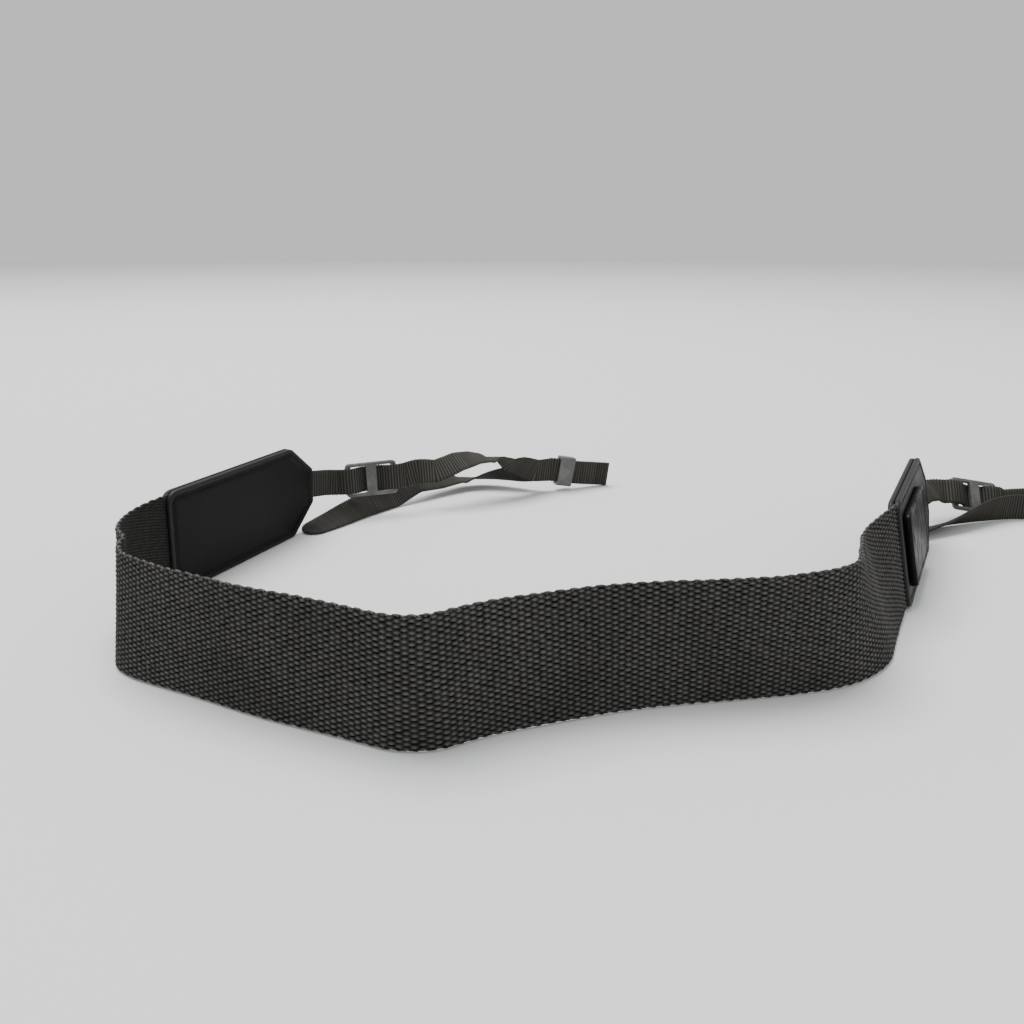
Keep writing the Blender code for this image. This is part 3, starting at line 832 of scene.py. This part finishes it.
def raisedBadge():
    # a plain plate with a raised rim round a slightly crowned panel
    base = tabFrames["right"]
    low, high = badge["fromMouth"], badge["fromMouth"] + badge["length"]
    half = badge["halfWidth"]
    corners = [
        (low, -half, badge["corner"]), (high, -half, badge["corner"]),
        (high, half, badge["corner"]), (low, half, badge["corner"]),
    ]
    rings = [outlineRing(corners, inset) for inset, height in badgeProfile]
    heights = [np.full(len(rings[0]), height) for inset, height in badgeProfile]
    last = rings[-1]
    spineX = np.clip(last[:, 0], low + badge["spineInset"], high - badge["spineInset"])
    spine = np.stack([spineX, np.zeros(len(last))], axis=1)
    for share in (0.15, 0.35, 0.6, 0.85, 1.0):
        rings.append(last + (spine - last) * share)
        crown = badge["crown"] * (1.0 - (1.0 - share) ** 2)
        heights.append(np.full(len(last), badgeProfile[-1][1] + crown))
    flat = np.vstack(rings)
    points = inFrame(base, flat[:, 0], flat[:, 1], np.concatenate(heights))
    faces = gridFaces(len(rings), len(last), True)
    piece = meshObject("right_tab_badge_plate", points, faces, badgeMaterial)
    sealed(piece.data)
    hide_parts("right_tab_badge")


raisedBadge()
print("badge made")

# Narrow webbing

thin = {
    "width": 12.0, "thickness": 1.0, "length": 160.0, "step": 1.6, "layerGap": 0.4,
    "shownTuck": 6.0, "mouth": 0.8, "turnSteps": 6, "ribPitch": 1.3, "ribDepth": 0.16, "samples": 4,
    "ribShape": 0.8, "ribMiddle": 0.75, "scallop": 0.3, "scallopMiddle": 0.8, "toneLow": 0.88,
    "toneSpread": 0.24, "backShade": 0.8,
}
buckle = {
    "length": 24.4, "thickness": 1.8, "endBar": 2.6, "centreBar": 4.8, "clearance": 0.35, "runOut": 4.0,
}
keeper = {"length": 8.0, "fromLoop": 23.5, "runOut": 3.0}
outTables = {  # share of the layer, turn, height of its lower edge, roll, place that holds it
    "left": [
        (0.000, 0.0, 1.000, 2.0, ""), (0.050, -6.0, 0.900, 3.0, ""),
        (0.105, -45.0, 0.810, 5.0, "buckleIn"), (0.315, -45.0, 0.830, 6.0, "buckleOut"),
        (0.350, -51.8, 0.920, 15.3, ""), (0.407, -53.2, 0.970, 40.0, ""),
        (0.476, -34.9, 1.300, 54.6, ""), (0.533, -27.0, 1.450, 70.8, ""),
        (0.578, -37.7, 1.450, 83.0, ""), (0.622, -49.4, 1.360, 104.8, ""),
        (0.660, -44.5, 0.900, 130.2, ""), (0.692, -40.1, 0.760, 145.7, ""),
        (0.749, -36.0, 0.420, 166.3, ""), (0.809, -47.0, 0.370, 180.0, "keeperIn"),
        (0.898, -47.0, 0.165, 180.0, "keeperOut"), (1.000, -47.0, 0.000, 180.0, ""),
    ],
    "right": [
        (0.000, 0.0, 1.00, 12.0, ""), (0.120, -3.0, 0.86, 28.0, ""),
        (0.190, -16.0, 0.74, 50.0, ""), (0.236, -53.5, 0.57, 35.0, "buckleIn"),
        (0.447, -53.5, 0.10, 35.0, "buckleOut"), (0.520, -56.6, 0.06, 25.0, ""),
        (0.650, -60.8, 0.05, 8.0, ""), (0.809, -65.0, 0.12, 0.0, "keeperIn"),
        (0.898, -65.0, 0.12, 0.0, "keeperOut"), (1.000, -65.0, 0.00, 0.0, ""),
    ],
}
backTables = {
    "left": [
        (0.000, 0.0, 0.000, 180.0, ""), (0.093, 0.0, 0.165, 180.0, "keeperIn"),
        (0.175, 0.0, 0.370, 180.0, "keeperOut"), (0.215, -22.3, 0.330, 168.6, ""),
        (0.270, -42.5, 0.230, 148.0, ""), (0.330, -38.3, 0.200, 129.5, ""),
        (0.390, -12.9, 0.190, 111.7, ""), (0.460, 17.5, 0.340, 82.5, ""),
        (0.530, 23.6, 0.270, 66.0, ""), (0.610, 26.3, 0.320, 47.7, ""),
        (0.690, 30.9, 0.000, 35.5, ""), (0.800, 31.3, 0.000, 41.0, ""),
        (0.900, 32.5, 0.000, 67.0, ""), (1.000, 28.0, 0.000, 87.0, ""),
    ],
    "right": [
        (0.000, 0.0, 0.00, 0.0, ""), (0.105, 0.0, 0.12, 0.0, "keeperIn"),
        (0.198, 0.0, 0.12, 0.0, "keeperOut"), (0.290, 16.0, 0.04, 0.0, ""),
        (0.470, 16.0, 0.00, 0.0, ""), (0.570, 0.0, 0.00, 0.0, ""),
        (0.620, 20.0, 0.00, -5.0, ""), (0.680, 27.0, 0.00, -16.0, ""),
        (0.760, 29.0, 0.00, -36.0, ""), (0.870, 29.0, 0.00, -62.0, ""),
        (1.000, 30.0, 0.00, -76.0, ""),
    ],
}
backLengths = {"left": 178.7, "right": 154.0}
buckleAt = {"left": 33.0, "right": 54.0}


def layerPoints(rows, length, start, heading, tipFoot, holds):
    # middle line of one layer: its held places come first, and it rests on its lower edge
    shares = [row[0] for row in rows]
    pins = [(0.0, 0.0)] + [(row[0], holds[row[4]]) for row in rows if row[4]] + [(1.0, length)]
    distances = np.interp(shares, [a for a, b in pins], [b for a, b in pins])
    turns, feet, leans = [[row[k] for row in rows] for k in (1, 2, 3)]
    count = max(int(length / thin["step"]), 8)
    step = length / count
    middles = (np.arange(count) + 0.5) * step
    bearing = np.radians(heading + np.interp(middles, distances, turns))
    stride = np.stack([np.cos(bearing), np.sin(bearing), np.zeros(count)], axis=1) * step
    foot = np.array([start[0], start[1], 0.0])
    points = np.vstack([foot, np.cumsum(stride, axis=0) + foot])
    at = np.arange(count + 1) * step
    lean = np.interp(at, distances, leans)
    roll = np.radians(lean)
    rest = thin["width"] / 2.0 * np.abs(np.cos(roll)) + thin["thickness"] / 2.0 * np.abs(np.sin(roll))
    points[:, 2] = np.interp(at, distances, feet) * tipFoot + rest
    return points, lean, step


def tapeStations(side):
    # out from the tab, over the buckle's centre bar and under its ends, round the loop and back
    base = tabFrames[side]
    out, back = outTables[side], backTables[side]
    tip = inFrame(base, tab["length"], 0.0, 0.0)
    heading = math.degrees(math.atan2(base["along"][1], base["along"][0]))
    roll = math.radians(out[0][3])
    tipRest = thin["width"] / 2.0 * math.cos(roll) + thin["thickness"] / 2.0 * abs(math.sin(roll))
    tipFoot = tip[2] - tipRest
    halfRun = buckle["length"] / 2.0 + buckle["runOut"] + buckle["clearance"]
    halfHold = keeper["length"] / 2.0 + keeper["runOut"]
    keeperAt = thin["length"] - keeper["fromLoop"]
    holds = {
        "buckleIn": buckleAt[side] - halfRun, "buckleOut": buckleAt[side] + halfRun,
        "keeperIn": keeperAt - halfHold, "keeperOut": keeperAt + halfHold,
    }
    points, lean, step = layerPoints(out, thin["length"], tip, heading, tipFoot, holds)
    along = tangents(points)
    across = leaned(along, lean)
    front = unit(np.cross(along, across))
    away = np.abs(np.arange(len(points)) * step - buckleAt[side])
    barEnd = buckle["centreBar"] / 2.0 + buckle["clearance"]
    sideStart = buckle["length"] / 2.0 - buckle["endBar"] - buckle["clearance"]
    crossing = ease((away - barEnd) / (sideStart - barEnd))
    faded = ease((away - buckle["length"] / 2.0 - buckle["clearance"]) / buckle["runOut"])
    depth = buckle["thickness"] / 2.0 + buckle["clearance"] + thin["thickness"] / 2.0
    shifted = points + front * (depth * (2.0 * crossing - 1.0) * (1.0 - faded))[:, None]
    places = [inFrame(base, tab["length"] - thin[key], 0.0, 0.0) for key in ("shownTuck", "mouth")]
    acrosses = [base["across"], base["across"]]
    places += list(shifted[1:])
    acrosses += list(across[1:])
    pitch = thin["thickness"] + thin["layerGap"]
    towards = unit(np.cross(along[-1], across[-1]))
    hub = points[-1] + towards * pitch / 2.0
    for k in range(1, thin["turnSteps"]):
        angle = math.pi * k / thin["turnSteps"]
        bulge = along[-1] * pitch / 2.0 * math.sin(angle)
        places.append(hub - towards * pitch / 2.0 * math.cos(angle) + bulge)
        acrosses.append(across[-1])
    length = backLengths[side]
    backHolds = {"keeperIn": keeper["fromLoop"] - halfHold, "keeperOut": keeper["fromLoop"] + halfHold}
    backHeading = math.degrees(math.atan2(-along[-1][1], -along[-1][0]))
    start = points[-1] + towards * pitch
    points, lean, step = layerPoints(back, length, start, backHeading, tipFoot, backHolds)
    along = -tangents(points)
    places += list(points)
    acrosses += list(leaned(along, lean))
    return np.array(places), np.array(acrosses)


def ribbedTape(side):
    # cross ribs along both layers, scalloped edges and a rounded tail
    places, acrosses = tapeStations(side)
    halves = np.full(len(places), thin["width"] / 2.0)
    line = finer(places, acrosses, halves, thin["ribPitch"] / thin["samples"])
    at, total = line["at"], line["at"][-1]
    beyond = np.clip((at - (total - thin["width"] / 2.0)) / (thin["width"] / 2.0), 0.0, 0.995)
    half = thin["width"] / 2.0 * np.sqrt(1.0 - beyond**2)
    phase = 2.0 * np.pi * at / thin["ribPitch"]
    wave = 0.5 - 0.5 * np.cos(phase)
    half = half + thin["scallop"] * (wave - thin["scallopMiddle"])
    rib = wave ** thin["ribShape"]
    flat = np.linspace(-1.0, 1.0, 9) * 0.96
    section = np.array(
        [(y, 1.0) for y in flat] + [(1.0, 0.45), (1.0, -0.45)]
        + [(y, -1.0) for y in -flat] + [(-1.0, -0.45), (-1.0, 0.45)]
    )
    deep = thin["thickness"] / 2.0 + thin["ribDepth"] * (rib - thin["ribMiddle"])
    points = (
        line["place"][:, None, :]
        + line["across"][:, None, :] * (half[:, None] * section[None, :, 0])[:, :, None]
        + line["out"][:, None, :] * (deep[:, None] * section[None, :, 1])[:, :, None]
    )
    count = len(section)
    faces = [tuple(f) for f in gridFaces(len(at), count, True)[:, ::-1]]
    faces.append(tuple(range(count)))
    faces.append(tuple(range(len(at) * count - 1, (len(at) - 1) * count - 1, -1)))
    shades = chance.random(int(total / thin["ribPitch"]) + 2)
    tones = thin["toneLow"] + thin["toneSpread"] * shades[(at / thin["ribPitch"]).astype(int)]
    tones[at > thin["shownTuck"] + thin["length"]] *= thin["backShade"]
    piece = meshObject(
        side + "_thin_strap_tape", points.reshape(-1, 3), faces, tapeMaterial,
        values={"rib": np.repeat(rib, count), "toneAndShade": np.repeat(tones, count)},
    )
    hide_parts(side + "_thin_strap")


for side in ("left", "right"):
    ribbedTape(side)
print("narrow tape made")

# Buckles and keepers keep their moulded shape, with softened edges

soften = {"buckle": 0.3, "keeper": 0.35, "segments": 3}
for side in ("left", "right"):
    for kind in ("buckle", "keeper"):
        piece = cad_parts[side + "_" + kind]
        piece.data.materials.clear()
        piece.data.materials.append(hardwareMaterial)
        bevel = piece.modifiers.new("softEdges", "BEVEL")
        bevel.width = soften[kind] * metres
        bevel.segments = soften["segments"]
        bevel.limit_method = "ANGLE"
        bevel.angle_limit = math.radians(35.0)
print("hardware finished")
